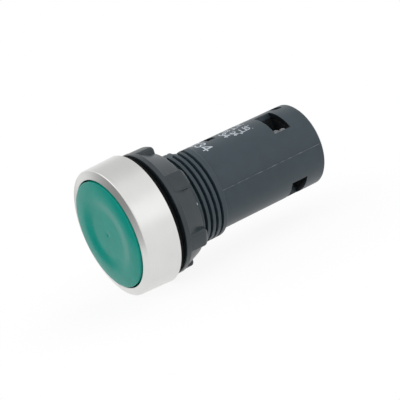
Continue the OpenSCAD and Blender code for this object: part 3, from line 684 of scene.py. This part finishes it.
def printed(name, strokes, width):
    # a flat band along each stroke, wrapped on the body and closed at both ends; the lift takes turns
    # so that bands that cross share no face
    grids = []
    t = np.linspace(0, 1, printing["steps"])[:, None]
    for stroke in strokes:
        ends = np.asarray(stroke, float)
        for one, two in zip(ends[:-1], ends[1:]):
            ahead = (two - one) / np.linalg.norm(two - one)
            aside = np.array([-ahead[1], ahead[0]]) * width / 2
            line = one - ahead * width / 2 + (two - one + ahead * width) * t
            corners = np.stack([line - aside, line + aside, line + aside, line - aside], 1)
            lift = printing["lift"] + printing["lap"] * (len(grids) % printing["laps"])
            radius = printing["radius"] + lift * np.array([1, 1, -1, -1])
            angle = np.radians(printing["centreDeg"]) - corners[..., 0] / printing["radius"]
            band = aroundY(radius, angle, corners[..., 1])
            tips = np.repeat(band[[0, -1]].mean(1, keepdims=True), 4, 1)
            grids.append(np.concatenate([tips[:1], band, tips[1:]]))
    addPiece(name, grids, finishes["ink"], "housing", (), (False, True))


def numbers(text, across, along, size, pitch):
    # strokes of figures in a row, the first centred at across; a space leaves a figure's room
    strokes = []
    for k, figure in enumerate(text):
        left = across + pitch * k - printing["figureMiddle"] * size
        if figure in figures:
            strokes.append([(left + x * size, along + y * size) for x, y in figures[figure]])
    return strokes


table = dict(left=-6.7, right=4.1, upperRow=25.6, lowerRow=28.9, size=1.0, pitch=1.02, rule=30.4)
sign = dict(places=((-5.2, 0), (-2.1, 0), (1.0, 1), (3.9, 1)), upperLead=(27.0, 27.3),
            lowerLead=(28.2, 28.5), bladeTip=((-0.6, 27.3), (0.1, 27.2)), rod=27.8, rodStart=-1.5,
            rodEnd=(-0.4, -0.1), hook=0.4)
numberRow = numbers("1234", across=-3.6, along=16.9, size=2.2, pitch=2.4)
poleRow = numbers("12 34", across=-3.9, along=23.6, size=1.45, pitch=1.6)
contactTable = numbers("13 14 23 24", table["left"], table["upperRow"], table["size"], table["pitch"])
contactTable += numbers("21 22 31 32", table["left"], table["lowerRow"], table["size"], table["pitch"])
contactTable += [[(table["left"], table["rule"]), (table["right"], table["rule"])]]
for x, shut in sign["places"]:
    # a contact sign between the table's rows: fixed leads, the moving blade and its push rod, and
    # a hook where the contact is shut
    tipX, tipY = sign["bladeTip"][shut]
    leadTop, leadEnd = sign["upperLead"]
    pivot, leadFoot = sign["lowerLead"]
    contactTable += [[(x, leadTop), (x, leadEnd)], [(x, pivot), (x, leadFoot)]]
    contactTable += [[(x, pivot), (x + tipX, tipY)]]
    contactTable += [[(x + sign["rodStart"], sign["rod"]), (x + sign["rodEnd"][shut], sign["rod"])]]
    if shut:
        contactTable += [[(x, leadEnd), (x + sign["hook"], leadEnd)]]
printed("number_print", numberRow, width=0.34)
printed("pole_print", poleRow, width=0.28)
printed("contact_print", contactTable, width=0.25)
print("print done")


# finishes of the solids that stay

kept = dict(
    body=["body_shell", "rear_cover"], rubber=["stem_seal"], insert=["contact_base"], ivory=["plunger"],
    brass=["make_bridge", "break_bridge", "make_upper_terminal", "make_lower_terminal",
           "break_upper_terminal", "break_lower_terminal"],
    tips=["make_bridge_tips", "make_fixed_tips", "break_bridge_tips", "break_fixed_tips"],
    plated=["clamp_plates", "terminal_screws"],
)
for finish, names in kept.items():
    for name in names:
        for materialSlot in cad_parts[name].material_slots:
            materialSlot.material = finishes[finish]
print("kept solids finished")


# floor, light and camera, in metres

stage = dict(floor=(-0.055, 6.0, -0.045, 6.0), floorTone=(240, 240, 240), middle=(0, 0.0166),
             nearGlow=0.90, farGlow=1.0, glowReach=(0.030, 0.058), dome=0.84, lampAim=(0, 0.012, 0))
white = (1, 1, 1, 1)
# brighter and darker parts of the room, by direction
studio = [
    dict(toward=(0.84, 0.46, 0.27), change=0.27, reach=(0.87, 0.985)),
    dict(toward=(-0.45, 0.46, 0.76), change=-0.24, reach=(0.75, 0.97)),
    dict(toward=(-0.40, 0.82, 0.40), change=0.30, reach=(0.88, 0.97)),
    dict(toward=(-0.55, -0.83, 0.04), change=-0.70, reach=(0.83, 0.99)),
    dict(toward=(-0.70, -0.69, -0.19), change=-0.28, reach=(0.95, 0.99)),
    dict(toward=(-0.38, -0.90, -0.22), change=0.28, reach=(0.955, 0.995)),
    dict(toward=(-0.80, -0.50, -0.33), change=-0.08, reach=(0.88, 0.99)),
    dict(toward=(-0.975, 0.10, -0.19), change=-0.35, reach=(0.95, 0.995)),
]
# a lamp that isn't mirrored leaves no white patch on the bezel
lamps = [
    dict(name="key", place=(-0.16, -0.22, 0.56), size=0.46, glow=0.6, mirrored=True),
    dict(name="rim", place=(0.0, 0.56, 0.34), size=0.36, glow=2.9, mirrored=False),
]
# place and aim in millimetres, the focal length in pixels of the frame
camera = dict(place=(266.02, -127.78, 55.85), aim=(-0.775, 14.732, -2.011), rollDeg=-20.05,
              focalPixels=1398.1, framePixels=400, sensor=36, near=0.01)


def seenDirectly(tree):
    # 1 for rays that show the backdrop itself: camera, mirror and glass rays
    seen = tree.node("LightPath", pick="Is Camera Ray")
    glossy, glass = seen.also("Is Glossy Ray"), seen.also("Is Transmission Ray")
    return seen.maths("MAXIMUM", seen.maths("MAXIMUM", seen, glossy), glass)


floorZ = cadBox[0][2]
left, right, front, rear = stage["floor"]
floorCorners = [(left, front, floorZ), (right, front, floorZ), (right, rear, floorZ), (left, rear, floorZ)]
floorMesh = bpy.data.meshes.new("floor")
floorMesh.from_pydata(floorCorners, [], [(0, 1, 2, 3)])
floor = bpy.data.objects.new("floor", floorMesh)
bpy.context.scene.collection.objects.link(floor)
floorFinish = bpy.data.materials.new("floor_finish")
floorFinish.use_nodes = True
floorTree = floorFinish.node_tree
floorTree.nodes.remove(floorTree.nodes["Principled BSDF"])
tree = Sock(floorTree)
matt = tree.node("BsdfDiffuse", {}, {"Color": colour(*stage["floorTone"])})
glow = tree.node("Emission", {}, {"Color": white, "Strength": 1})
away = distance(tree, tree.node("TexCoord", pick="Object"), (*stage["middle"], floorZ))
share = stage["nearGlow"] + (stage["farGlow"] - stage["nearGlow"]) * away.spread(*stage["glowReach"])
floorOut = tree.node("MixShader", {}, {0: seenDirectly(tree) * share, 1: matt, 2: glow})
floorTree.links.new(floorOut.out, floorTree.nodes["Material Output"].inputs["Surface"])
floorMesh.materials.append(floorFinish)

world = bpy.data.worlds.new("studio")
bpy.context.scene.world = world
world.use_nodes = True
tree = Sock(world.node_tree)
direction = tree.node("TexCoord", pick="Generated")
change = 0
for part in studio:
    facing = tree.node("VectorMath", {"operation": "DOT_PRODUCT"},
                       {0: direction, 1: Vector(part["toward"]).normalized()}, "Value")
    change = change + part["change"] * facing.spread(*part["reach"])
plain = stage["dome"] + (1 - stage["dome"]) * seenDirectly(tree)
byCamera = tree.node("LightPath", pick="Is Camera Ray")
strength = plain + change * (1 - byCamera)                 # the camera itself sees an even backdrop
sky = world.node_tree.nodes["Background"]
sky.inputs["Color"].default_value = white
world.node_tree.links.new(strength.out, sky.inputs["Strength"])

for lamp in lamps:
    data = bpy.data.lights.new(lamp["name"], "AREA")
    data.size = lamp["size"]
    data.energy = lamp["glow"] * np.pi * lamp["size"] ** 2  # a panel of that brightness, white being 1
    light = bpy.data.objects.new(lamp["name"], data)
    light.location = lamp["place"]
    aimed = Vector(stage["lampAim"]) - Vector(lamp["place"])
    light.rotation_euler = aimed.to_track_quat("-Z", "Y").to_euler()
    light.visible_glossy = lamp["mirrored"]
    bpy.context.scene.collection.objects.link(light)

place, aim = Vector(camera["place"]) * mm, Vector(camera["aim"]) * mm
back = (place - aim).normalized()
level = Vector((0, 0, 1)).cross(back).normalized()
upright = back.cross(level)
roll = np.radians(camera["rollDeg"])
viewRight = level * np.cos(roll) + upright * np.sin(roll)
viewUp = back.cross(viewRight)
lens = bpy.data.cameras.new("view")
lens.sensor_width = camera["sensor"]
lens.lens = camera["focalPixels"] / camera["framePixels"] * camera["sensor"]
lens.clip_start = camera["near"]
view = bpy.data.objects.new("view", lens)
viewTurn = Matrix((viewRight, viewUp, back)).transposed().to_4x4()
view.matrix_world = Matrix.Translation(place) @ viewTurn
bpy.context.scene.collection.objects.link(view)
bpy.context.scene.camera = view
bpy.context.scene.view_settings.view_transform = "Standard"
print("stage done")
